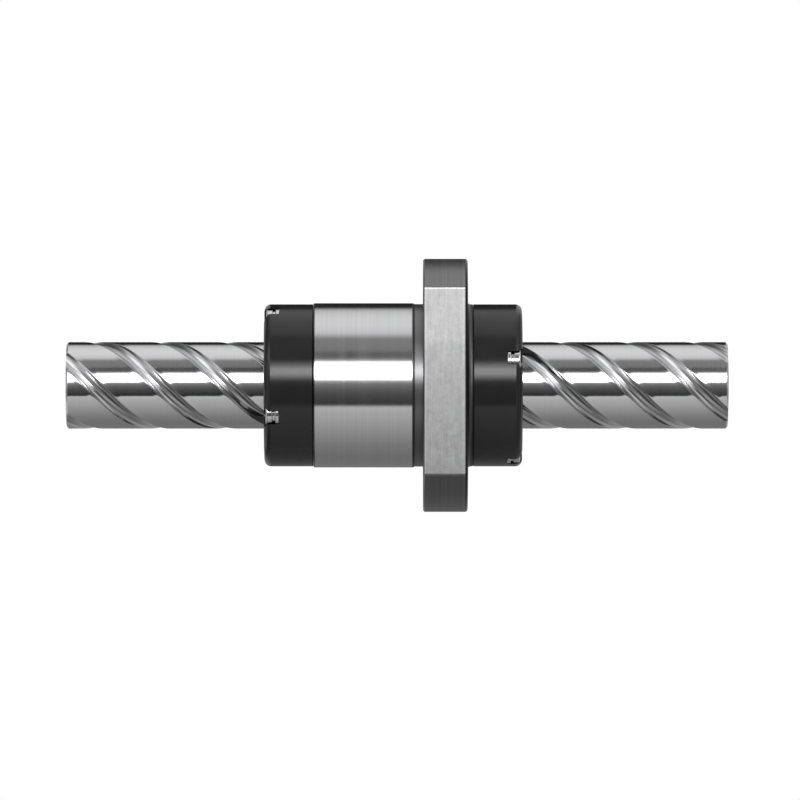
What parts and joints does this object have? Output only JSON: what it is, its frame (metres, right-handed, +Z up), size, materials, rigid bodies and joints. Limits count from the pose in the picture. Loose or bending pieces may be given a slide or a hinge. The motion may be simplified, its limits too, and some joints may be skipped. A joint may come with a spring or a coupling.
{
  "type": "ball screw",
  "caption": "Long-lead ball screw: a multi-start grooved steel shaft in a round steel nut with a flange cut flat on two sides and black resin end caps.",
  "frame": {"origin": "on the screw axis at the flange's mounting face, the one that the nut's ground body stands out of", "axes": "+X along the screw axis, from the ground body through the flange; +Z up, across the longer way of the flange; the flange's two flats face -Y and +Y"},
  "size_m": [0.1487, 0.0384, 0.057],
  "materials": {
    "shaft_steel": "ground and polished bearing steel",
    "nut_steel": "ground steel with fine turning lines; matte milled flats",
    "cap_resin": "moulded black resin, satin",
    "guide_resin": "moulded dark resin",
    "wiper_resin": "dark low-friction resin",
    "screw_steel": "bright plated steel",
    "spring_steel": "bright drawn wire",
    "ball_steel": "lapped bearing balls"
  },
  "bodies": {
    "nut": {"nut_body": "nut_steel", "grease_plug": "screw_steel", "end_cap_left": "cap_resin", "return_guides_left": "guide_resin", "wiper_ring_left": "wiper_resin", "cap_screws_left": "screw_steel", "split_washers_left": "screw_steel", "flat_washers_left": "screw_steel", "end_cap_right": "cap_resin", "return_guides_right": "guide_resin", "wiper_ring_right": "wiper_resin", "cap_screws_right": "screw_steel", "split_washers_right": "screw_steel", "flat_washers_right": "screw_steel", "loaded_balls_1": "ball_steel", "loaded_balls_2": "ball_steel", "loaded_balls_3": "ball_steel", "loaded_balls_4": "ball_steel", "return_balls_1": "ball_steel", "return_balls_2": "ball_steel", "return_balls_3": "ball_steel", "return_balls_4": "ball_steel"},
    "wiper_springs": {"wiper_spring_left": "spring_steel", "wiper_spring_right": "spring_steel"},
    "shaft": {"screw_shaft": "shaft_steel"}
  },
  "joints": [
    {"name": "shaft_turn", "type": "hinge", "parent": "nut", "child": "wiper_springs", "pos_m": [0, 0, 0], "axis": [1, 0, 0], "range_deg": [-270.1, 258.1]},
    {"name": "shaft_feed", "type": "slide", "parent": "wiper_springs", "child": "shaft", "axis": [1, 0, 0], "range_m": [-0.045, 0.043]}
  ],
  "couplings": [
    {"joint": "shaft_turn", "follows": "shaft_feed", "rad_per_m": 104.72}
  ]
}
